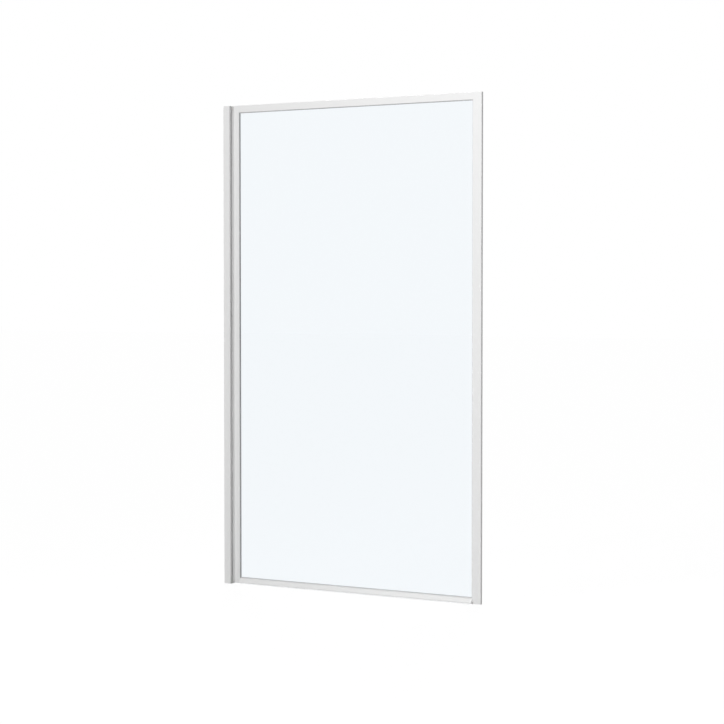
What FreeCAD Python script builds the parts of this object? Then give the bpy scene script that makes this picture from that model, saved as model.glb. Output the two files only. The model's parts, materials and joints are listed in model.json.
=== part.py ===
import FreeCAD, Part
import math
import os
import re

import Sketcher
from FreeCAD import Placement, Rotation, Vector

# A framed, clear-glass bath screen with one leaf that pivots in and out on a wall profile.
# Millimetres. X runs from the wall plane along the screen, -Y is the bath side that faces the
# viewer, +Z is up. The origin is where the wall plane, the bath rim and the screen's mid-plane meet.

# Sizes that can be set by themselves.
DRIVING = {
    "overall_height": 1400,
    "overall_width": 840,
    # wall profile, a channel screwed to the wall
    "profile_width": 22,
    "profile_depth": 22,
    "profile_wall": 1.6,
    "profile_round": 1.5,
    "scribe_depth": 0.5,
    "profile_cap": 1.5,
    "cap_leg_depth": 12,
    "fixing_radius": 2.5,
    "fixing_inset": 100,
    # adjusting post, which telescopes in the wall profile
    "post_clearance": 0.3,
    "post_wall": 1.3,
    "post_web": 3.2,
    "post_rear": 2,
    "pull_out": 10,
    # clamp screws that hold the post where it is set
    "clamp_setback": 6.8,
    "clamp_inset": 200,
    "clamp_radius": 2,
    "clamp_play": 0.2,
    "clamp_head_radius": 3.5,
    "clamp_head_height": 2.4,
    "clamp_socket": 1.5,
    "nut_width": 6,
    "nut_height": 12,
    "nut_thick": 2.4,
    "cover_radius": 4.6,
    "cover_height": 3.3,
    "cover_wall": 0.7,
    # pivot
    "pivot_reach": 3,
    "barrel_radius": 3.2,
    "seat_gap": 0.4,
    "pin_radius": 1.5,
    "pin_play": 0.04,
    "pin_seat": 8,
    "pin_chamfer": 0.4,
    "bush_wall": 0.6,
    "bush_length": 14,
    "bush_play": 0.02,
    "lug_height": 10,
    "lug_plug": 14,
    "washer_thick": 1,
    "running_gap": 0.1,
    "notch_gap": 0.65,
    # frame extrusions
    "frame_thick": 8.5,
    "frame_wall": 1.3,
    "frame_round": 1,
    "lip_round": 0.4,
    "neck_thick": 3.9,
    "neck_run": 4,
    "neck_length": 13.9,
    "lip_width": 11.2,
    "closing_width": 26.7,
    "top_rail_height": 20,
    "bottom_rail_height": 14.9,
    "frame_lift": 3,
    "rail_lift": 1,
    "channel_depth": 9.4,
    "bottom_channel": 6.4,
    # drip nose along the front of the bottom rail
    "nose_slope": 38,
    "nose_cove": 8.8,
    "nose_bulge": 10.7,
    "nose_face": 1.6,
    "nose_round": 0.6,
    "nose_plug": 4,
    # glass and its gaskets
    "glass_thick": 4,
    "glass_arris": 0.4,
    "glass_play": 0.3,
    "gasket_base": 1.1,
    "gasket_play": 0.03,
    "gasket_sight": 2,
    "gasket_tip": 0.35,
    "gasket_set_back": 0.6,
    # wiper seal under the bottom rail
    "seal_slot": 1.8,
    "seal_stem_play": 0.05,
    "seal_head_width": 4.6,
    "seal_head_thick": 0.8,
    "seal_flange_width": 5.2,
    "seal_flange_thick": 0.7,
    "seal_fin": 0.7,
    "seal_drop": 2.3,
    # corner keys, their screws and the caps on the stile ends
    "key_reach": 40,
    "key_play": 0.1,
    "key_end_play": 0.3,
    "key_screw_inset": 5,
    "key_screw_reach": 12,
    "screw_radius": 1.5,
    "screw_head_radius": 2.8,
    "screw_length": 5.8,
    "stile_cap": 1.2,
    "cap_tongue": 1.6,
    "cap_tongue_play": 0.25,
    "chamber_tongue": 6,
}

# Sizes and places that follow from the ones above.
DERIVED = {
    "profile_half": "profile_depth / 2",
    "profile_inner": "profile_half - profile_wall",
    "fixing_pitch": "(overall_height - 2 * fixing_inset) / 3",
    "clamp_pitch": "(overall_height - 2 * clamp_inset) / 2",
    "post_half": "profile_inner - post_clearance",
    "post_inner": "post_half - post_wall",
    "half_thick": "frame_thick / 2",
    "channel_half": "half_thick - frame_wall",
    "glass_half": "glass_thick / 2",
    "neck_half": "neck_thick / 2",
    # along X
    "clamp_x": "profile_width - clamp_setback",
    "pivot_x": "profile_width + pivot_reach",
    "seat_radius": "barrel_radius + seat_gap",
    "seat_half": "sqrt(seat_radius ^ 2 - pivot_reach ^ 2)",
    "neck_root_x": "pivot_x + sqrt(barrel_radius ^ 2 - neck_half ^ 2)",
    "cove_x": "pivot_x + neck_run",
    "crease_x": "pivot_x + neck_length",
    "cove_run": "crease_x - cove_x",
    "cove_rise": "half_thick - neck_half",
    "cove_radius": "(cove_run ^ 2 + cove_rise ^ 2) / (2 * cove_rise)",
    "hinge_edge": "crease_x + lip_width",
    "hinge_channel_x": "hinge_edge - channel_depth",
    "closing_edge": "overall_width - closing_width",
    "closing_channel_x": "closing_edge + channel_depth",
    "rail_length": "closing_edge - hinge_edge",
    "glass_left": "hinge_channel_x + glass_play + gasket_base",
    "glass_right": "closing_channel_x - glass_play - gasket_base",
    # along Z
    "post_start": "profile_cap + post_clearance + lug_height",
    "lug_start": "profile_cap + post_clearance",
    "washer_start": "post_start + running_gap",
    "barrel_start": "washer_start + washer_thick + running_gap",
    "top_rail_low": "overall_height - top_rail_height",
    "top_channel_z": "top_rail_low + channel_depth",
    "bottom_rail_low": "frame_lift + rail_lift",
    "bottom_rail_top": "bottom_rail_low + bottom_rail_height",
    "bottom_channel_z": "bottom_rail_top - bottom_channel",
    "glass_top": "top_channel_z - glass_play - gasket_base",
    "glass_low": "bottom_channel_z + glass_play + gasket_base",
    # the pivot pin's hidden parts
    "bush_radius": "pin_radius + pin_play + bush_wall",
    "barrel_bore": "bush_radius + bush_play",
    "notch_reach": "barrel_radius + notch_gap",
    "pin_in_bush": "bush_length - 1",
    # drip nose: a cove that flares out of the rail's face and turns over into a low front face
    "nose_turn_z": "bottom_rail_low + nose_face",
    "nose_joint_z": "nose_turn_z + nose_bulge * sin(nose_slope)",
    "nose_top": "nose_joint_z + nose_cove * sin(nose_slope)",
    "nose_joint_y": "-half_thick - nose_cove * (1 - cos(nose_slope))",
    "nose_front_y": "nose_joint_y - nose_bulge * (1 - cos(nose_slope))",
    "nose_floor": "bottom_rail_low + frame_wall",
    # corner keys
    "top_key_low": "top_channel_z + frame_wall + key_end_play",
    "top_key_high": "overall_height - stile_cap - cap_tongue - key_end_play * 2",
    "bottom_key_low": "nose_floor + seal_head_thick + key_end_play",
    "bottom_key_high": "bottom_channel_z - frame_wall - key_end_play / 2",
    "top_key_z": "(top_key_low + top_key_high) / 2",
    "bottom_key_z": "(bottom_key_low + bottom_key_high) / 2",
    "key_half": "channel_half - key_play",
    "key_groove": "screw_radius * cos(30) + bush_play",
    "key_groove_y": "half_thick - screw_length - key_play",
}

doc = FreeCAD.newDocument("bath_screen")
sheet = doc.addObject("Spreadsheet::Sheet", "dims")
nodes = []


def fill_sheet():
    """Write every size into the sheet, one row each, with its name as the alias."""
    row = 0
    for alias, size in DRIVING.items():
        row += 1
        sheet.set(f"A{row}", alias)
        sheet.set(f"B{row}", str(size))
        sheet.setAlias(f"B{row}", alias)
    for alias, rule in DERIVED.items():
        row += 1
        sheet.set(f"A{row}", alias)
        sheet.set(f"B{row}", "=" + rule)
        sheet.setAlias(f"B{row}", alias)
    doc.recompute()


def formula(rule):
    """An expression on the sheet, from the plain names of the sizes."""
    def with_sheet(word):
        name = word.group()
        return "dims." + name if name in DRIVING or name in DERIVED else name
    return re.sub(r"[a-z][a-z_]*", with_sheet, str(rule))


def size_of(rule):
    return float(sheet.evalExpression(formula(rule)))


def bind(item, **rules):
    """Tie an object's sizes to the sheet. place_x, place_y and place_z tie its Placement."""
    for name, rule in rules.items():
        target = "Placement.Base." + name[-1] if name.startswith("place_") else name
        item.setExpression(target, formula(rule))


def piece(label):
    """A sub-part: one body, whose label is the name of its file."""
    body = doc.addObject("PartDesign::Body", label)
    body.Label = label
    nodes.append(body)
    return body


def origin_feature(body, role):
    return next(item for item in body.Origin.OriginFeatures if item.Role == role)


def new_sketch(body, name, plane, start="0"):
    """A sketch on one of the body's own planes, moved out along the plane's normal by start."""
    sketch = body.newObject("Sketcher::SketchObject", name)
    sketch.AttachmentSupport = [(origin_feature(body, plane), "")]
    sketch.MapMode = "FlatFace"
    sketch.setExpression("AttachmentOffset.Base.z", formula(start))
    return sketch


def arc_between(start, end, radius):
    """The arc of under half a turn from start to end: anticlockwise if radius is positive."""
    chord = end - start
    height = math.sqrt(max(radius ** 2 - chord.Length ** 2 / 4, 0))
    side = Vector(-chord.y, chord.x, 0).normalize() * math.copysign(height, radius)
    centre = (start + end) / 2 + side
    first, last = (start, end) if radius > 0 else (end, start)
    turn = [math.atan2(point.y - centre.y, point.x - centre.x) for point in (first, last)]
    return Part.ArcOfCircle(Part.Circle(centre, Vector(0, 0, 1), abs(radius)), *turn)


def draw_outline(sketch, points):
    """Draw a closed outline, every corner tied to the sheet.

    A point is (x, y), or (x, y, radius) where an arc leads to it, anticlockwise if positive.
    """
    rules = [point if len(point) == 3 else (*point, None) for point in points]
    places = [Vector(size_of(x), size_of(y), 0) for x, y, _ in rules]
    ends = []
    for index, (_, _, radius) in enumerate(rules):
        start, end = places[index - 1], places[index]
        if radius is None:
            geo = sketch.addGeometry(Part.LineSegment(start, end), False)
            ends.append((geo, 1, 2))
        else:
            turn = size_of(radius)
            geo = sketch.addGeometry(arc_between(start, end, turn), False)
            ends.append((geo, 1, 2) if turn > 0 else (geo, 2, 1))
    for index, (geo, start, _) in enumerate(ends):
        before, _, before_end = ends[index - 1]
        sketch.addConstraint(Sketcher.Constraint("Coincident", before, before_end, geo, start))
    for index, (x, y, radius) in enumerate(rules):
        geo, _, end = ends[index]
        for kind, rule, value in (("DistanceX", x, places[index].x), ("DistanceY", y, places[index].y)):
            number = sketch.addConstraint(Sketcher.Constraint(kind, geo, end, value))
            sketch.setExpression(f"Constraints[{number}]", formula(rule))
        if radius is not None:
            number = sketch.addConstraint(Sketcher.Constraint("Radius", geo, abs(size_of(radius))))
            sketch.setExpression(f"Constraints[{number}]", formula(f"abs({radius})"))


def mirrored(half, across, bridge=None):
    """A whole outline from its half and the half's mirror image across one axis.

    The two are joined by an arc of radius bridge, or a straight line where it is None.
    """
    sign_x, sign_y = ("-", "") if across == "Y" else ("", "-")
    radii = [point[2] if len(point) == 3 else None for point in half]
    other = []
    for index in range(len(half) - 1, -1, -1):
        x, y = half[index][:2]
        radius = bridge if index == len(half) - 1 else radii[index + 1]
        point = (f"{sign_x}({x})", f"{sign_y}({y})")
        other.append(point if radius is None else (*point, radius))
    if half[0][1 if across == "X" else 0] == "0":
        # the outline starts on the axis, so the last mirrored point is the first point again
        closing = other.pop()
        first = half[0][:2]
        half = [first if len(closing) == 2 else (*first, closing[2])] + list(half[1:])
    return list(half) + other


def extrude(body, plane, outlines, start, length, name="section"):
    """Pad one or more closed outlines, the inner ones as hollows, along the plane's normal."""
    sketch = new_sketch(body, f"{body.Label}_{name}", plane, start)
    for points in outlines:
        draw_outline(sketch, points)
    pad = body.newObject("PartDesign::Pad", f"{body.Label}_{name}_pad")
    pad.Profile = sketch
    bind(pad, Length=length)
    sketch.Visibility = False
    doc.recompute()
    return pad


AXES = {
    "+X": Rotation(Vector(0, 1, 0), 90),
    "+Y": Rotation(Vector(1, 0, 0), -90),
    "+Z": Rotation(),
}


def round_tool(body, kind, name, at, along, **sizes):
    """Add or cut a cylinder or cone of the body, from a point along an axis."""
    tool = body.newObject(f"PartDesign::{kind}", f"{body.Label}_{name}")
    tool.Placement = Placement(Vector(), AXES[along])
    bind(tool, place_x=at[0], place_y=at[1], place_z=at[2], **sizes)
    doc.recompute()
    return tool


def block_tool(body, kind, name, low, high):
    """Add or cut a box of the body between two corners."""
    tool = body.newObject(f"PartDesign::{kind}", f"{body.Label}_{name}")
    bind(
        tool,
        place_x=low[0], place_y=low[1], place_z=low[2],
        Length=f"({high[0]}) - ({low[0]})",
        Width=f"({high[1]}) - ({low[1]})",
        Height=f"({high[2]}) - ({low[2]})",
    )
    doc.recompute()
    return tool


def heights(inset, pitch, count):
    """Heights of a row of equal steps up the screen, each with its number."""
    return [(number, f"{inset} + {number} * {pitch}") for number in range(count)]


FIXING_HEIGHTS = heights("fixing_inset", "fixing_pitch", 4)
CLAMP_HEIGHTS = heights("clamp_inset", "clamp_pitch", 3)


def from_end(end, near, far):
    """Lowest and highest Z of what lies between two distances from the screen's top or bottom."""
    if end == "top":
        return f"overall_height - ({far})", f"overall_height - ({near})"
    return f"{near}", f"{far}"


# ---------------------------------------------------------------- wall profile and its fittings

def wall_profile():
    body = piece("wall_profile")
    half = [
        ("profile_wall - scribe_depth", "0"),
        ("profile_wall", "-2 * scribe_depth"),
        ("profile_wall", "-profile_inner"),
        ("profile_width", "-profile_inner"),
        ("profile_width", "-profile_half + profile_round"),
        ("profile_width - profile_round", "-profile_half", "-profile_round"),
        ("0", "-profile_half"),
    ]
    extrude(body, "XY_Plane", [mirrored(half, "X")], "profile_cap", "overall_height - 2 * profile_cap")
    for number, at_z in FIXING_HEIGHTS:
        round_tool(
            body, "SubtractiveCylinder", f"fixing_hole_{number}", ("-profile_wall", "0", at_z), "+X",
            Radius="fixing_radius", Height="3 * profile_wall",
        )
    for number, at_z in CLAMP_HEIGHTS:
        round_tool(
            body, "SubtractiveCylinder", f"clamp_hole_{number}",
            ("clamp_x", "profile_inner - profile_wall", at_z), "+Y",
            Radius="clamp_radius + clamp_play", Height="3 * profile_wall",
        )


def wall_profile_cap(end):
    """End cap of the wall profile, with a leg that stands against the inside of its web."""
    body = piece(f"wall_profile_cap_{end}")
    low, _ = from_end(end, "0", "profile_cap")
    half = [
        ("0", "-profile_half"),
        ("profile_width - profile_round", "-profile_half"),
        ("profile_width", "-profile_half + profile_round", "profile_round"),
    ]
    extrude(body, "XY_Plane", [mirrored(half, "X")], low, "profile_cap")
    low, high = from_end(end, "profile_cap", "profile_cap + cap_leg_depth")
    block_tool(
        body, "AdditiveBox", "leg",
        ("profile_wall", "-profile_inner / 2", low),
        ("profile_wall + post_rear", "profile_inner / 2", high),
    )


def clamp_screws():
    """Pan-head screws through the back flange, each with a hexagon socket in its head."""
    body = piece("clamp_screws")
    tip_y = "post_inner - running_gap - nut_thick - profile_wall / 2"
    for number, at_z in CLAMP_HEIGHTS:
        round_tool(
            body, "AdditiveCylinder", f"shank_{number}", ("clamp_x", tip_y, at_z), "+Y",
            Radius="clamp_radius", Height=f"profile_half - ({tip_y})",
        )
        round_tool(
            body, "AdditiveCylinder", f"head_{number}", ("clamp_x", "profile_half", at_z), "+Y",
            Radius="clamp_head_radius", Height="clamp_head_height",
        )
        socket_y = "profile_half + clamp_head_height / 2"
        round_tool(
            body, "SubtractivePrism", f"socket_{number}", ("clamp_x", socket_y, at_z), "+Y",
            Circumradius="clamp_socket", Height="clamp_head_height",
        )


def clamp_nuts():
    """Plates inside the post that the clamp screws pull against its back wall."""
    body = piece("clamp_nuts")
    back = "post_inner - running_gap"
    for number, at_z in CLAMP_HEIGHTS:
        block_tool(
            body, "AdditiveBox", f"plate_{number}",
            ("clamp_x - nut_width / 2", f"{back} - nut_thick", f"{at_z} - nut_height / 2"),
            ("clamp_x + nut_width / 2", back, f"{at_z} + nut_height / 2"),
        )
        round_tool(
            body, "SubtractiveCylinder", f"thread_{number}",
            ("clamp_x", f"{back} - 2 * nut_thick", at_z), "+Y",
            Radius="clamp_radius + bush_play", Height="3 * nut_thick",
        )


def screw_cover_caps():
    """Domed caps that hide the clamp screws' heads."""
    body = piece("screw_cover_caps")
    side_height = "cover_height - cover_wall"
    inner_radius = "cover_radius - cover_wall"
    for number, at_z in CLAMP_HEIGHTS:
        round_tool(
            body, "AdditiveCylinder", f"side_{number}", ("clamp_x", "profile_half", at_z), "+Y",
            Radius="cover_radius", Height=side_height,
        )
        round_tool(
            body, "AdditiveCone", f"crown_{number}",
            ("clamp_x", f"profile_half + {side_height}", at_z), "+Y",
            Radius1="cover_radius", Radius2=inner_radius, Height="cover_wall",
        )
        round_tool(
            body, "SubtractiveCylinder", f"hollow_{number}", ("clamp_x", "profile_half", at_z), "+Y",
            Radius=inner_radius, Height=side_height,
        )


# ---------------------------------------------------------------- adjusting post and pivots

def adjusting_post():
    """Telescoping post: a channel whose front web is hollowed to a seat for the leaf's barrel."""
    body = piece("adjusting_post")
    half = [
        ("profile_width - post_web", "-post_inner"),
        ("post_rear", "-post_inner"),
        ("post_rear", "-post_half"),
        ("profile_width - lip_round", "-post_half"),
        ("profile_width", "-post_half + lip_round", "lip_round"),
        ("profile_width", "-seat_half"),
    ]
    outline = mirrored(half, "X", bridge="-seat_radius")
    extrude(body, "XY_Plane", [outline], "post_start", "overall_height - 2 * post_start")
    slot_radius = "clamp_radius + clamp_play"
    wall_y = "post_inner - post_wall"
    for number, at_z in CLAMP_HEIGHTS:
        for name, at_x in (("rear", "clamp_x - pull_out"), ("front", "clamp_x")):
            round_tool(
                body, "SubtractiveCylinder", f"slot_{name}_{number}", (at_x, wall_y, at_z), "+Y",
                Radius=slot_radius, Height="3 * post_wall",
            )
        block_tool(
            body, "SubtractiveBox", f"slot_{number}",
            ("clamp_x - pull_out", wall_y, f"{at_z} - ({slot_radius})"),
            ("clamp_x", "post_half + post_wall", f"{at_z} + ({slot_radius})"),
        )


def pivot_block(end):
    """Moulded block that closes the post's end and reaches out to the pivot axis."""
    body = piece(f"pivot_block_{end}")
    rear = "profile_wall + 2 * post_rear"
    low, _ = from_end(end, "lug_start", "post_start")
    half = [
        (rear, "-post_half"),
        ("profile_width - lip_round", "-post_half"),
        ("profile_width", "-post_half + lip_round", "lip_round"),
        ("profile_width", "-barrel_radius"),
        ("pivot_x", "-barrel_radius"),
        ("pivot_x + barrel_radius", "0", "barrel_radius"),
    ]
    other = [
        ("pivot_x", "barrel_radius", "barrel_radius"),
        ("profile_width", "barrel_radius"),
        ("profile_width", "post_half - lip_round"),
        ("profile_width - lip_round", "post_half", "lip_round"),
        (rear, "post_half"),
    ]
    extrude(body, "XY_Plane", [half + other], low, "lug_height")
    low, high = from_end(end, "post_start", "post_start + lug_plug")
    side = "post_inner - key_play"
    front = "profile_width - post_web - key_play"
    block_tool(body, "AdditiveBox", "plug", (rear, f"-({side})", low), (front, side, high))
    skin = "post_web / 2"
    block_tool(
        body, "SubtractiveBox", "plug_hollow",
        (f"{rear} + {skin}", f"-({side}) + {skin}", low),
        (f"{front} - {skin}", f"{side} - {skin}", high),
    )
    low, high = from_end(end, "post_start - pin_seat", "post_start")
    round_tool(
        body, "SubtractiveCylinder", "pin_seat", ("pivot_x", "0", low), "+Z",
        Radius="pin_radius", Height="pin_seat",
    )


def pivot_pin(end):
    body = piece(f"pivot_pin_{end}")
    low, high = from_end(end, "post_start - pin_seat", "barrel_start + pin_in_bush")
    pin = round_tool(
        body, "AdditiveCylinder", "shank", ("pivot_x", "0", low), "+Z",
        Radius="pin_radius", Height=f"({high}) - ({low})",
    )
    chamfer = body.newObject("PartDesign::Chamfer", f"{body.Label}_ends")
    round_edges = [
        f"Edge{number}" for number, edge in enumerate(pin.Shape.Edges, 1)
        if isinstance(edge.Curve, Part.Circle)
    ]
    chamfer.Base = (pin, round_edges)
    bind(chamfer, Size="pin_chamfer")
    doc.recompute()


def pivot_bush(end):
    body = piece(f"pivot_bush_{end}")
    low, _ = from_end(end, "barrel_start", "barrel_start + bush_length")
    round_tool(
        body, "AdditiveCylinder", "sleeve", ("pivot_x", "0", low), "+Z",
        Radius="bush_radius", Height="bush_length",
    )
    round_tool(
        body, "SubtractiveCylinder", "bore", ("pivot_x", "0", low), "+Z",
        Radius="pin_radius + pin_play", Height="bush_length",
    )


def thrust_washer(end):
    body = piece(f"thrust_washer_{end}")
    low, _ = from_end(end, "washer_start", "washer_start + washer_thick")
    round_tool(
        body, "AdditiveCylinder", "disc", ("pivot_x", "0", low), "+Z",
        Radius="barrel_radius - pin_play", Height="washer_thick",
    )
    round_tool(
        body, "SubtractiveCylinder", "bore", ("pivot_x", "0", low), "+Z",
        Radius="pin_radius + pin_play", Height="washer_thick",
    )


# ---------------------------------------------------------------- the leaf's frame

def countersunk_hole(body, name, at_x, at_z):
    """A hole for a corner screw in the back wall, with a seat for its head."""
    round_tool(
        body, "SubtractiveCone", f"{name}_seat", (at_x, "half_thick - frame_wall", at_z), "+Y",
        Radius1="screw_radius", Radius2="screw_head_radius", Height="frame_wall",
    )


def hinge_stile():
    """Pivoting stile: a barrel, a thin neck, a hollow cove that rises to a crease, and a lip.

    The thin neck and the cove let the leaf turn past the wall profile's front edge.
    """
    body = piece("hinge_stile")
    half = [
        ("pivot_x - barrel_radius", "0"),
        ("pivot_x", "-barrel_radius", "barrel_radius"),
        ("neck_root_x", "-neck_half", "barrel_radius"),
        ("cove_x", "-neck_half"),
        ("crease_x", "-half_thick", "-cove_radius"),
        ("hinge_edge - lip_round", "-half_thick"),
        ("hinge_edge", "-half_thick + lip_round", "lip_round"),
        ("hinge_edge", "-channel_half"),
        ("hinge_channel_x", "-channel_half"),
    ]
    low = "frame_lift + stile_cap"
    length = "overall_height - frame_lift - 2 * stile_cap"
    extrude(body, "XY_Plane", [mirrored(half, "X")], low, length)
    round_tool(
        body, "SubtractiveCylinder", "barrel_bore", ("pivot_x", "0", "0"), "+Z",
        Radius="barrel_bore", Height="overall_height",
    )
    for end in ("top", "bottom"):
        low, high = from_end(end, "0", "barrel_start")
        block_tool(
            body, "SubtractiveBox", f"notch_{end}",
            ("profile_width - barrel_radius", "-frame_thick", low),
            ("pivot_x + notch_reach", "frame_thick", high),
        )
        countersunk_hole(body, f"screw_{end}", "hinge_edge - key_screw_inset", f"{end}_key_z")


def closing_stile():
    body = piece("closing_stile")
    half = [
        ("closing_channel_x", "-channel_half"),
        ("closing_edge", "-channel_half"),
        ("closing_edge", "-half_thick + lip_round"),
        ("closing_edge + lip_round", "-half_thick", "lip_round"),
        ("overall_width - frame_round", "-half_thick"),
        ("overall_width", "-half_thick + frame_round", "frame_round"),
    ]
    chamber = [
        ("closing_channel_x + frame_wall", "-channel_half"),
        ("overall_width - frame_wall", "-channel_half"),
    ]
    low = "frame_lift + stile_cap"
    length = "overall_height - frame_lift - 2 * stile_cap"
    extrude(body, "XY_Plane", [mirrored(half, "X"), mirrored(chamber, "X")], low, length)
    for end in ("top", "bottom"):
        countersunk_hole(body, f"screw_{end}", "closing_edge + key_screw_inset", f"{end}_key_z")


def rail_screw_holes(body, end):
    for name, at_x in (
        ("screw_left", "hinge_edge + key_screw_reach"),
        ("screw_right", "closing_edge - key_screw_reach"),
    ):
        countersunk_hole(body, name, at_x, f"{end}_key_z")


def top_rail():
    body = piece("top_rail")
    half = [
        ("channel_half", "top_channel_z"),
        ("channel_half", "top_rail_low"),
        ("half_thick - lip_round", "top_rail_low"),
        ("half_thick", "top_rail_low + lip_round", "lip_round"),
        ("half_thick", "overall_height - frame_round"),
        ("half_thick - frame_round", "overall_height", "frame_round"),
    ]
    chamber = [
        ("channel_half", "top_channel_z + frame_wall"),
        ("channel_half", "overall_height - frame_wall"),
    ]
    outlines = [mirrored(half, "Y"), mirrored(chamber, "Y")]
    extrude(body, "YZ_Plane", outlines, "hinge_edge", "rail_length")
    rail_screw_holes(body, "top")


def nose_hollow(play="0"):
    """Section of the space inside the drip nose, drawn smaller all round by a play."""
    skin = f"(frame_wall + {play})"
    back_y = f"-half_thick - {play}"
    floor_z = f"nose_floor + {play}"
    top_z = f"nose_top - sqrt((nose_cove + {skin}) ^ 2 - (nose_cove - {play}) ^ 2)"
    joint_y = f"-half_thick - nose_cove + (nose_cove + {skin}) * cos(nose_slope)"
    joint_z = f"nose_top - (nose_cove + {skin}) * sin(nose_slope)"
    front_y = f"nose_front_y + {skin}"
    return [
        (back_y, floor_z),
        (back_y, top_z),
        (joint_y, joint_z, f"-(nose_cove + {skin})"),
        (front_y, "nose_turn_z", f"nose_bulge - {skin}"),
        (front_y, floor_z),
    ]


def bottom_rail():
    """Rail with a glass channel above, a key chamber, a slot for the seal and a drip nose."""
    body = piece("bottom_rail")
    chamber_top = "bottom_channel_z - frame_wall"
    outline = [
        ("half_thick - frame_round", "bottom_rail_low"),
        ("half_thick", "bottom_rail_low + frame_round", "frame_round"),
        ("half_thick", "bottom_rail_top - lip_round"),
        ("half_thick - lip_round", "bottom_rail_top", "lip_round"),
        ("channel_half", "bottom_rail_top"),
        ("channel_half", "bottom_channel_z"),
        ("-channel_half", "bottom_channel_z"),
        ("-channel_half", "bottom_rail_top"),
        ("-half_thick + lip_round", "bottom_rail_top"),
        ("-half_thick", "bottom_rail_top - lip_round", "lip_round"),
        ("-half_thick", "nose_top"),
        ("nose_joint_y", "nose_joint_z", "-nose_cove"),
        ("nose_front_y", "nose_turn_z", "nose_bulge"),
        ("nose_front_y", "bottom_rail_low + nose_round"),
        ("nose_front_y + nose_round", "bottom_rail_low", "nose_round"),
        ("-seal_slot / 2", "bottom_rail_low"),
        ("-seal_slot / 2", "nose_floor"),
        ("-channel_half", "nose_floor"),
        ("-channel_half", chamber_top),
        ("channel_half", chamber_top),
        ("channel_half", "nose_floor"),
        ("seal_slot / 2", "nose_floor"),
        ("seal_slot / 2", "bottom_rail_low"),
    ]
    extrude(body, "YZ_Plane", [outline, nose_hollow()], "hinge_edge", "rail_length")
    rail_screw_holes(body, "bottom")


def drip_nose_plug(side, start):
    """Plug that closes one open end of the hollow drip nose."""
    body = piece(f"drip_nose_plug_{side}")
    extrude(body, "YZ_Plane", [nose_hollow("gasket_play")], start, "nose_plug")


def stile_cap(stile, end, half, tongue_low_x, tongue_high_x, tongue_depth):
    """Cap on a stile's cut end, with a tongue that grips inside the extrusion."""
    body = piece(f"{stile}_cap_{end}")
    lift = "0" if end == "top" else "frame_lift"
    low, _ = from_end(end, lift, f"{lift} + stile_cap")
    extrude(body, "XY_Plane", [mirrored(half, "X")], low, "stile_cap")
    near = f"{lift} + stile_cap"
    low, high = from_end(end, near, f"{near} + {tongue_depth}")
    tongue = "channel_half - cap_tongue_play"
    block_tool(
        body, "AdditiveBox", "tongue",
        (tongue_low_x, f"-({tongue})", low), (tongue_high_x, tongue, high),
    )


def stile_caps(end):
    hinge_half = [
        ("cove_x", "-neck_half"),
        ("crease_x", "-half_thick", "-cove_radius"),
        ("hinge_edge", "-half_thick"),
    ]
    stile_cap(
        "hinge_stile", end, hinge_half,
        "hinge_channel_x + cap_tongue_play", "hinge_edge - 2 * cap_tongue_play", "cap_tongue",
    )
    closing_half = [
        ("closing_edge", "-half_thick"),
        ("overall_width - frame_round", "-half_thick"),
        ("overall_width", "-half_thick + frame_round", "frame_round"),
    ]
    stile_cap(
        "closing_stile", end, closing_half,
        "closing_channel_x + frame_wall + cap_tongue_play",
        "overall_width - frame_wall - cap_tongue_play", "chamber_tongue",
    )


# ---------------------------------------------------------------- corners

def corner_key(end, side):
    """Bar that joins a rail's chamber to a stile's channel.

    A groove along its back is as wide as the screws across their flats, so that they cut their
    thread in it.
    """
    body = piece(f"corner_key_{end}_{side}")
    if side == "left":
        low_x, high_x = "hinge_channel_x + key_end_play", "hinge_edge + key_reach"
    else:
        low_x, high_x = "closing_edge - key_reach", "closing_channel_x - key_end_play"
    section = [
        ("-key_half", f"{end}_key_low"),
        ("key_half", f"{end}_key_low"),
        ("key_half", f"{end}_key_z - key_groove"),
        ("key_groove_y", f"{end}_key_z - key_groove"),
        ("key_groove_y", f"{end}_key_z + key_groove"),
        ("key_half", f"{end}_key_z + key_groove"),
        ("key_half", f"{end}_key_high"),
        ("-key_half", f"{end}_key_high"),
    ]
    extrude(body, "YZ_Plane", [section], low_x, f"{high_x} - ({low_x})")


def corner_screws():
    """Countersunk screws through the back walls into the keys' grooves, two at each corner.

    Their shanks are six-sided, as thread-cutting shanks are lobed.
    """
    body = piece("corner_screws")
    for end in ("top", "bottom"):
        for name, at_x in (
            ("left_stile", "hinge_edge - key_screw_inset"),
            ("left_rail", "hinge_edge + key_screw_reach"),
            ("right_rail", "closing_edge - key_screw_reach"),
            ("right_stile", "closing_edge + key_screw_inset"),
        ):
            at_z = f"{end}_key_z"
            round_tool(
                body, "AdditivePrism", f"{end}_{name}_shank",
                (at_x, "half_thick - screw_length", at_z), "+Y",
                Circumradius="screw_radius", Height="screw_length - frame_wall",
            )
            round_tool(
                body, "AdditiveCone", f"{end}_{name}_head",
                (at_x, "half_thick - frame_wall", at_z), "+Y",
                Radius1="screw_radius", Radius2="screw_head_radius", Height="frame_wall",
            )


# ---------------------------------------------------------------- glass, gaskets and seal

def glass_pane():
    body = piece("glass_pane")
    outline = [
        ("glass_left", "glass_low"),
        ("glass_right", "glass_low"),
        ("glass_right", "glass_top"),
        ("glass_left", "glass_top"),
    ]
    pad = extrude(body, "XZ_Plane", [outline], "-glass_half", "glass_thick")
    arris = body.newObject("PartDesign::Chamfer", "glass_pane_arris")
    long_edges = [
        f"Edge{number}" for number, edge in enumerate(pad.Shape.Edges, 1)
        if edge.Length > size_of("glass_thick") * 2
    ]
    arris.Base = (pad, long_edges)
    bind(arris, Size="glass_arris")
    doc.recompute()


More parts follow.
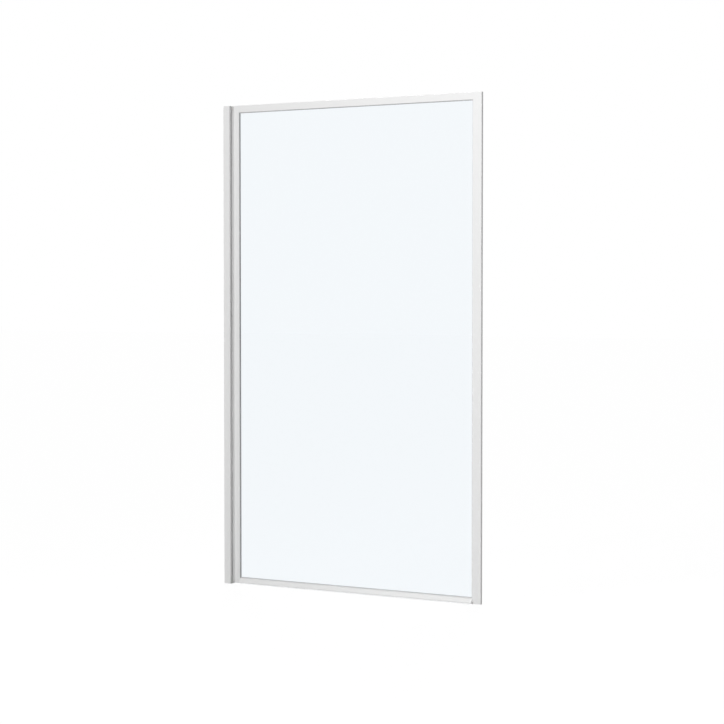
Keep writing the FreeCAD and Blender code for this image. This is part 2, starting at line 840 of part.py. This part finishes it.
def gasket_section(mouth, inward, base, swap):
    """Half of a channel gasket: its base deep in the metal, its wedge lips out on the glass.

    mouth is the metal's edge, inward the sign from there to the middle of the glass, and base
    the glass's own edge. swap puts the first number on the sketch's second axis.
    """
    outer = f"{base} - ({inward} * gasket_base)"
    tip = f"{mouth} + ({inward} * gasket_sight)"
    shoulder = f"{mouth} + ({inward} * gasket_play)"
    half = [
        (outer, "-channel_half + gasket_play"),
        (shoulder, "-channel_half + gasket_play"),
        (shoulder, "-half_thick + gasket_set_back"),
        (tip, "-glass_half - gasket_tip"),
        (tip, "-glass_half"),
        (base, "-glass_half"),
    ]
    if swap:
        return mirrored([(across, along) for along, across in half], "Y")
    return mirrored(half, "X")


def trim_wedges(body, low_x, high_x):
    """Cut an upright gasket's wedges away where the gasket runs on into the rails' channels."""
    for end, low_z, high_z in (
        ("bottom", "bottom_channel_z", "bottom_rail_top + gasket_play"),
        ("top", "top_rail_low - gasket_play", "top_channel_z"),
    ):
        for face, low_y, high_y in (
            ("front", "-half_thick", "gasket_play - channel_half"),
            ("back", "channel_half - gasket_play", "half_thick"),
        ):
            block_tool(
                body, "SubtractiveBox", f"trim_{end}_{face}",
                (low_x, low_y, low_z), (high_x, high_y, high_z),
            )


def gaskets():
    upright_length = "glass_top - glass_low"
    for side, mouth, inward, base in (
        ("hinge_side", "hinge_edge", 1, "glass_left"),
        ("closing_side", "closing_edge", -1, "glass_right"),
    ):
        body = piece(f"gasket_{side}")
        section = gasket_section(mouth, inward, base, swap=False)
        extrude(body, "XY_Plane", [section], "glass_low", upright_length)
        trim_wedges(body, f"{mouth} - gasket_sight - gasket_play", f"{mouth} + gasket_sight + gasket_play")
    start = "hinge_edge + gasket_sight"
    level_length = "rail_length - 2 * gasket_sight"
    for side, mouth, inward, base in (
        ("top", "top_rail_low", -1, "glass_top"),
        ("bottom", "bottom_rail_top", 1, "glass_low"),
    ):
        body = piece(f"gasket_{side}")
        section = gasket_section(mouth, inward, base, swap=True)
        extrude(body, "YZ_Plane", [section], start, level_length)


def bottom_seal():
    """Soft wiper: a head in the rail's slot, a flange under it and two fins to the bath rim."""
    body = piece("bottom_seal")
    stem = "seal_slot / 2 - seal_stem_play"
    flange_top = "bottom_rail_low - seal_stem_play"
    flange_low = f"{flange_top} - seal_flange_thick"
    fin_low = f"{flange_low} - seal_drop"
    half = [
        ("0", flange_low),
        ("seal_flange_width / 2 - 2 * seal_fin", flange_low),
        ("seal_flange_width / 2 - seal_fin / 2", fin_low),
        ("seal_flange_width / 2 + seal_fin / 2", fin_low),
        ("seal_flange_width / 2", flange_top),
        (stem, flange_top),
        (stem, "nose_floor + seal_stem_play"),
        ("seal_head_width / 2", "nose_floor + seal_stem_play"),
        ("seal_head_width / 2", "nose_floor + seal_head_thick"),
        ("0", "nose_floor + seal_head_thick"),
    ]
    other = [(f"-({x})", z) for x, z in reversed(half[1:-1])]
    extrude(body, "YZ_Plane", [half + other], "hinge_edge", "rail_length")


def build():
    fill_sheet()
    wall_profile()
    clamp_screws()
    clamp_nuts()
    screw_cover_caps()
    adjusting_post()
    hinge_stile()
    closing_stile()
    top_rail()
    bottom_rail()
    drip_nose_plug("left", "hinge_edge")
    drip_nose_plug("right", "closing_edge - nose_plug")
    for end in ("top", "bottom"):
        wall_profile_cap(end)
        pivot_block(end)
        pivot_pin(end)
        pivot_bush(end)
        thrust_washer(end)
        stile_caps(end)
        for side in ("left", "right"):
            corner_key(end, side)
    corner_screws()
    glass_pane()
    gaskets()
    bottom_seal()


def check_and_export():
    """Stop on any failed object or unsound shape, then write one file per sub-part."""
    doc.recompute()
    failed = [item.Name for item in doc.Objects if {"Invalid", "Error"} & set(item.State)]
    unsound = [
        body.Label for body in nodes
        if body.Shape.isNull() or not body.Shape.isValid() or not body.Shape.Solids
    ]
    if failed or unsound:
        raise RuntimeError(f"failed objects {failed}, unsound shapes {unsound}")
    os.makedirs("parts", exist_ok=True)
    for body in nodes:
        body.Shape.exportStep(os.path.join("parts", body.Label + ".step"))
        box = body.Shape.BoundBox
        print(
            f"{body.Label}: {len(body.Shape.Solids)} solids, {body.Shape.Volume:.1f} mm3, "
            f"X {box.XMin:.2f} {box.XMax:.2f}, Y {box.YMin:.2f} {box.YMax:.2f}, "
            f"Z {box.ZMin:.2f} {box.ZMax:.2f}"
        )


build()
check_and_export()
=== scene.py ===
import json
import math

import bpy
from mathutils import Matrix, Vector


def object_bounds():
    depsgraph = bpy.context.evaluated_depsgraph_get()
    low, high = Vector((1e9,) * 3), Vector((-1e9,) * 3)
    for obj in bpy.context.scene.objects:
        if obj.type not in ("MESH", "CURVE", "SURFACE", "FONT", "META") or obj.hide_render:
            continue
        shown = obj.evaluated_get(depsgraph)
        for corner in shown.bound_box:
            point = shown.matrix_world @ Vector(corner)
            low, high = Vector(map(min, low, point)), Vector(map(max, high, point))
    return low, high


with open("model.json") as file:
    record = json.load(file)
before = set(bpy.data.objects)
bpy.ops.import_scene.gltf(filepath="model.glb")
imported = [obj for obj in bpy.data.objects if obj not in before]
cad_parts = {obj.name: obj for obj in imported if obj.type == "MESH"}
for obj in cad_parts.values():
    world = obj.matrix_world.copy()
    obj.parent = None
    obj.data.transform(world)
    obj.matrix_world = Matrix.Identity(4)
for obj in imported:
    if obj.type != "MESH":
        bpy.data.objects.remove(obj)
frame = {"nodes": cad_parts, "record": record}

# A framed bath screen on plain white, in metres. X runs along the screen away from the wall, -Y is
# the bath side that faces the camera, +Z is up. All its shapes come with the frame, so this script
# gives each node its finish and adds the camera, the floor, the world and the lamps.

MILLIMETRE = 0.001
MICRON = 0.000001

cad_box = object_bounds()
low, high = (Vector(corner) for corner in cad_box)
WIDTH = high.x - low.x
HEIGHT = high.z - low.z


# ---------------------------------------------------------------- node trees

# A noise seldom leaves this part of its range, so what follows it is spread over this part alone.
NOISE_LOW = 0.3
NOISE_HIGH = 0.7


class Tree:
    """A material or world node tree, with short calls to add and join its nodes."""

    def __init__(self, owner):
        owner.use_nodes = True
        self.nodes = owner.node_tree.nodes
        self.links = owner.node_tree.links
        self.nodes.clear()

    def add(self, kind, **settings):
        """A node. Its properties are set by name, and what is in put by the input's name."""
        made = self.nodes.new("ShaderNode" + kind)
        put = settings.pop("put", {})
        for name, value in settings.items():
            setattr(made, name, value)
        for name, value in put.items():
            self.set(made.inputs[name], value)
        return made

    def set(self, socket, value):
        """Join the socket to another node's output, or give it a number or colour of its own."""
        if isinstance(value, bpy.types.NodeSocket):
            self.links.new(value, socket)
        else:
            socket.default_value = value

    def place(self, scale=(1, 1, 1)):
        """The place on the object in metres, times a number along each axis."""
        place = self.add("TexCoord").outputs["Object"]
        return self.add("Mapping", put={"Vector": place, "Scale": scale}).outputs["Vector"]

    def noise(self, place, scale=1, detail=2, roughness=0.5):
        made = self.add("TexNoise", put={
            "Vector": place, "Scale": scale, "Detail": detail, "Roughness": roughness,
        })
        return made.outputs["Fac"]

    def spread(self, value, lowest, highest):
        """A number that runs from lowest to highest with a noise or a wave."""
        made = self.add("MapRange", put={
            "Value": value, "From Min": NOISE_LOW, "From Max": NOISE_HIGH,
            "To Min": lowest, "To Max": highest,
        })
        return made.outputs["Result"]

    def tint(self, value, tones):
        """A colour that runs from the first tone to the second as value runs from 0 to 1."""
        made = self.add("Mix", data_type="RGBA", put={"Factor": value})
        for socket, tone in zip([s for s in made.inputs if s.type == "RGBA"], tones):
            socket.default_value = (*tone, 1)
        return next(s for s in made.outputs if s.type == "RGBA")

    def bump(self, height, distance, strength, under=None):
        """A normal raised by height, on top of an earlier bump where one is given."""
        made = self.add("Bump", put={"Height": height, "Distance": distance, "Strength": strength})
        if under is not None:
            self.set(made.inputs["Normal"], under)
        return made.outputs["Normal"]

    def highest(self, first, second):
        made = self.add("Math", operation="MAXIMUM")
        self.set(made.inputs[0], first)
        self.set(made.inputs[1], second)
        return made.outputs[0]

    def mix(self, factor, first, second):
        """The first shader where factor is 0 and the second where it is 1."""
        made = self.add("MixShader", put={"Fac": factor})
        self.set(made.inputs[1], first)
        self.set(made.inputs[2], second)
        return made.outputs[0]

    def principled(self, **inputs):
        """The surface: inputs are named as the shader's own, with _ for a space."""
        shader = self.add("BsdfPrincipled")
        for name, value in inputs.items():
            self.set(shader.inputs[name.replace("_", " ")], value)
        self.add("OutputMaterial", put={"Surface": shader.outputs[0]})


def new_material(name):
    material = bpy.data.materials.new(name)
    return material, Tree(material)


# ---------------------------------------------------------------- materials

# Each pair of tones is the darker and the lighter colour of a finish.
COAT_TONES = ((0.855, 0.855, 0.853), (0.880, 0.880, 0.878))
MOULDING_TONES = ((0.850, 0.850, 0.845), (0.880, 0.880, 0.876))
ACETAL_TONES = ((0.79, 0.79, 0.76), (0.83, 0.83, 0.80))
STEEL_TONES = ((0.56, 0.56, 0.57), (0.68, 0.68, 0.69))
ALUMINIUM_TONES = ((0.64, 0.65, 0.66), (0.76, 0.76, 0.77))
GASKET_TONES = ((0.60, 0.61, 0.62), (0.66, 0.67, 0.68))
VINYL_TONES = ((0.975, 0.980, 0.985), (0.990, 0.995, 0.995))
GLASS_TINT = (0.903, 0.939, 0.967, 1)

GLASS_INDEX = 1.5
VINYL_INDEX = 1.4


def powder_coat():
    """White satin powder coat: a fine orange peel over faint waves that run up the profiles."""
    material, tree = new_material("frame_coating")
    place = tree.place()
    patches = tree.noise(place, scale=9, detail=3)
    peel = tree.noise(place, scale=900, detail=3, roughness=0.6)
    waves = tree.noise(tree.place((60, 60, 1.5)))
    swell = tree.bump(waves, distance=100 * MICRON, strength=0.15)
    tree.principled(
        Base_Color=tree.tint(patches, COAT_TONES),
        Roughness=tree.spread(peel, 0.34, 0.46),
        Specular_IOR_Level=0.45,
        Normal=tree.bump(peel, distance=20 * MICRON, strength=0.6, under=swell),
    )
    return material


def moulding():
    """White moulded plastic with the fine grain of a spark-eroded mould."""
    material, tree = new_material("white_moulding")
    place = tree.place()
    grain = tree.noise(place, scale=2600, roughness=0.7)
    patches = tree.noise(place, scale=40)
    tree.principled(
        Base_Color=tree.tint(patches, MOULDING_TONES),
        Roughness=tree.spread(grain, 0.38, 0.52),
        Specular_IOR_Level=0.5,
        Subsurface_Weight=0.04,
        Subsurface_Scale=2 * MILLIMETRE,
        Normal=tree.bump(grain, distance=10 * MICRON, strength=0.6),
    )
    return material


def bearing_plastic():
    """Natural acetal of the bushes and washers, with faint turning marks."""
    material, tree = new_material("pivot_plastic")
    marks = tree.add("TexWave", wave_type="RINGS", rings_direction="Z", put={
        "Vector": tree.place(), "Scale": 400, "Distortion": 1,
    }).outputs["Fac"]
    tree.principled(
        Base_Color=tree.tint(marks, ACETAL_TONES),
        Roughness=tree.spread(marks, 0.32, 0.42),
        Subsurface_Weight=0.1,
        Subsurface_Scale=2 * MILLIMETRE,
        Normal=tree.bump(marks, distance=10 * MICRON, strength=0.3),
    )
    return material


def steel():
    """Stainless steel of the pins, screws and nuts, with fine scratches at right angles to Z."""
    material, tree = new_material("steel")
    scratches = tree.noise(tree.place((300, 300, 4000)), detail=4, roughness=0.7)
    tree.principled(
        Base_Color=tree.tint(scratches, STEEL_TONES),
        Metallic=1.0,
        Roughness=tree.spread(scratches, 0.22, 0.38),
        Normal=tree.bump(scratches, distance=10 * MICRON, strength=0.4),
    )
    return material


def mill_aluminium():
    """Plain extruded aluminium of the corner keys, with die lines along X."""
    material, tree = new_material("key_aluminium")
    lines = tree.noise(tree.place((6, 2500, 2500)), detail=3, roughness=0.6)
    tree.principled(
        Base_Color=tree.tint(lines, ALUMINIUM_TONES),
        Metallic=1.0,
        Roughness=tree.spread(lines, 0.34, 0.5),
        Normal=tree.bump(lines, distance=10 * MICRON, strength=0.5),
    )
    return material


def clear_glass():
    """Clear toughened glass, with a faint blue tint and a trace of the waves its rollers leave."""
    material, tree = new_material("clear_glass")
    ripple = tree.noise(tree.place((1, 1, 0.6)), scale=3.5, detail=1)
    tree.principled(
        Base_Color=GLASS_TINT,
        Roughness=0.0,
        IOR=GLASS_INDEX,
        Transmission_Weight=1.0,
        Normal=tree.bump(ripple, distance=200 * MICRON, strength=0.1),
    )
    return material


def soft_gasket():
    """Soft grey-white glazing gasket: dull, a little see-through and finely mottled."""
    material, tree = new_material("glazing_gasket")
    mottle = tree.noise(tree.place((400, 400, 400)), detail=3, roughness=0.6)
    tree.principled(
        Base_Color=tree.tint(mottle, GASKET_TONES),
        Roughness=tree.spread(mottle, 0.48, 0.62),
        Specular_IOR_Level=0.35,
        Subsurface_Weight=0.05,
        Subsurface_Scale=1 * MILLIMETRE,
        Normal=tree.bump(mottle, distance=20 * MICRON, strength=0.4),
    )
    return material


def clear_wiper():
    """Clear soft vinyl of the wiper seal, a little cloudy along its length."""
    material, tree = new_material("wiper_seal")
    cloud = tree.noise(tree.place((20, 400, 400)), detail=3, roughness=0.6)
    tree.principled(
        Base_Color=tree.tint(cloud, VINYL_TONES),
        Roughness=tree.spread(cloud, 0.06, 0.14),
        IOR=VINYL_INDEX,
        Transmission_Weight=1.0,
        Normal=tree.bump(cloud, distance=20 * MICRON, strength=0.3),
    )
    return material


def finish_nodes():
    """Give every node of the frame the finish of its slot in the record."""
    finishes = {
        "frame_coating": powder_coat(),
        "white_moulding": moulding(),
        "pivot_plastic": bearing_plastic(),
        "steel": steel(),
        "key_aluminium": mill_aluminium(),
        "clear_glass": clear_glass(),
        "glazing_gasket": soft_gasket(),
        "wiper_seal": clear_wiper(),
    }
    for part in frame["record"]["subparts"]:
        mesh = frame["nodes"][part["node"]].data
        mesh.materials.clear()
        mesh.materials.append(finishes[part["material_slot"]])


# ---------------------------------------------------------------- studio

# The photo's view, solved from the straight edges of the frame. Angles are in degrees.
CAMERA_PLACE = (3.2097, -4.7305, 0.8531)
CAMERA_TURN = 30.149
CAMERA_TILT = 2.02
FOCAL_PIXELS = 1940.3
FRAME_PIXELS = 724
SENSOR_WIDTH = 36
SIGHT_END = 200

# The floor and the world each have a plain white look for the camera and a dimmer one that lights
# the object. Of the floor's look, the shade is the part that a shadow takes away.
FLOOR_HEIGHT = 0.0
FLOOR_SIDE = 60
FLOOR_GLOW = 0.957
FLOOR_SHADE = 0.06
FLOOR_LIT = 0.42
WORLD_SEEN = 1.0
WORLD_LIT = 0.22


def grey(level):
    return (level, level, level, 1)


def make_camera():
    data = bpy.data.cameras.new("camera")
    data.sensor_width = SENSOR_WIDTH
    data.lens = FOCAL_PIXELS / FRAME_PIXELS * SENSOR_WIDTH
    data.clip_end = SIGHT_END
    camera = bpy.data.objects.new("camera", data)
    camera.location = CAMERA_PLACE
    camera.rotation_euler = (math.radians(90 - CAMERA_TILT), 0, math.radians(CAMERA_TURN))
    bpy.context.scene.collection.objects.link(camera)
    bpy.context.scene.camera = camera


def seen_ray(tree):
    """1 for what the camera sees straight, through glass or mirrored, and 0 for all other light."""
    path = tree.add("LightPath").outputs
    straight = tree.highest(path["Is Camera Ray"], path["Is Transmission Ray"])
    return tree.highest(straight, path["Is Glossy Ray"])


def make_floor():
    """A plain floor that is seen as white with a trace of shadow, and gives little light back."""
    mesh = bpy.data.meshes.new("floor")
    half = FLOOR_SIDE / 2
    corners = [(-half, -half), (half, -half), (half, half), (-half, half)]
    mesh.from_pydata([(x, y, FLOOR_HEIGHT) for x, y in corners], [], [(0, 1, 2, 3)])
    floor = bpy.data.objects.new("floor", mesh)
    bpy.context.scene.collection.objects.link(floor)
    material, tree = new_material("floor")
    lit = tree.add("BsdfDiffuse", put={"Color": grey(FLOOR_LIT)}).outputs[0]
    shade = tree.add("BsdfDiffuse", put={"Color": grey(FLOOR_SHADE)}).outputs[0]
    glow = tree.add("Emission", put={"Color": grey(1), "Strength": FLOOR_GLOW}).outputs[0]
    seen = tree.add("AddShader")
    tree.set(seen.inputs[0], shade)
    tree.set(seen.inputs[1], glow)
    surface = tree.mix(seen_ray(tree), lit, seen.outputs[0])
    tree.add("OutputMaterial", put={"Surface": surface})
    mesh.materials.append(material)


def make_world():
    """Even, dim studio light, which the camera sees as plain white."""
    world = bpy.data.worlds.new("studio")
    bpy.context.scene.world = world
    tree = Tree(world)
    lit = tree.add("Background", put={"Color": grey(1), "Strength": WORLD_LIT}).outputs[0]
    seen = tree.add("Background", put={"Color": grey(1), "Strength": WORLD_SEEN}).outputs[0]
    tree.add("OutputWorld", put={"Surface": tree.mix(seen_ray(tree), lit, seen)})


# ---------------------------------------------------------------- lamps

# Angles are in degrees: a side is to the left of the screen's front, a rise is above the level.
# The key is aimed by its turn past the screen's right and by its lift above the middle.
KEY_SIDE = 20
KEY_RISE = 25
KEY_DISTANCE = 6.5
KEY_TURN = 54
KEY_LIFT = 6
KEY_CONE = 140
KEY_RADIUS = 0.5
KEY_POWER = 1590

# Each far lamp has a name, a side, a rise and a strength.
FAR_LAMPS = (
    ("side", 48, 12, 0.88),
    ("edge", -90, 10, 0.32),
    ("fill", 150, 35, 1.8),
)
FAR_LAMP_SPREAD = 20


def heading(side, rise):
    """The way from the screen to a lamp at this side and rise."""
    turn = math.radians(side)
    lift = math.radians(rise)
    level = math.cos(lift)
    return Vector((-math.sin(turn) * level, -math.cos(turn) * level, math.sin(lift)))


def add_light(name, kind, place, ahead, **settings):
    """A lamp that stands at place and shines the way of the vector ahead."""
    data = bpy.data.lights.new(name, kind)
    for setting, value in settings.items():
        setattr(data, setting, value)
    light = bpy.data.objects.new(name, data)
    light.location = place
    light.rotation_euler = ahead.to_track_quat("-Z", "Y").to_euler()
    bpy.context.scene.collection.objects.link(light)


def make_lights():
    """A key from the front left, aimed past the screen's upper right so that it fades to the left.

    The side lamp rakes over the hollow band up to its crease, the edge lamp reaches the faces that
    look right, and the fill keeps the back readable.
    """
    middle = Vector((WIDTH / 2, 0, HEIGHT / 2))
    place = middle + heading(KEY_SIDE, KEY_RISE) * KEY_DISTANCE
    ahead = -heading(KEY_SIDE + KEY_TURN, KEY_RISE - KEY_LIFT)
    add_light(
        "key", "SPOT", place, ahead, energy=KEY_POWER, spot_size=math.radians(KEY_CONE),
        spot_blend=1.0, shadow_soft_size=KEY_RADIUS,
    )
    for name, side, rise, strength in FAR_LAMPS:
        place = heading(side, rise)
        add_light(name, "SUN", place, -place, energy=strength, angle=math.radians(FAR_LAMP_SPREAD))


finish_nodes()
make_camera()
make_floor()
make_world()
make_lights()
bpy.context.scene.view_settings.view_transform = "Standard"
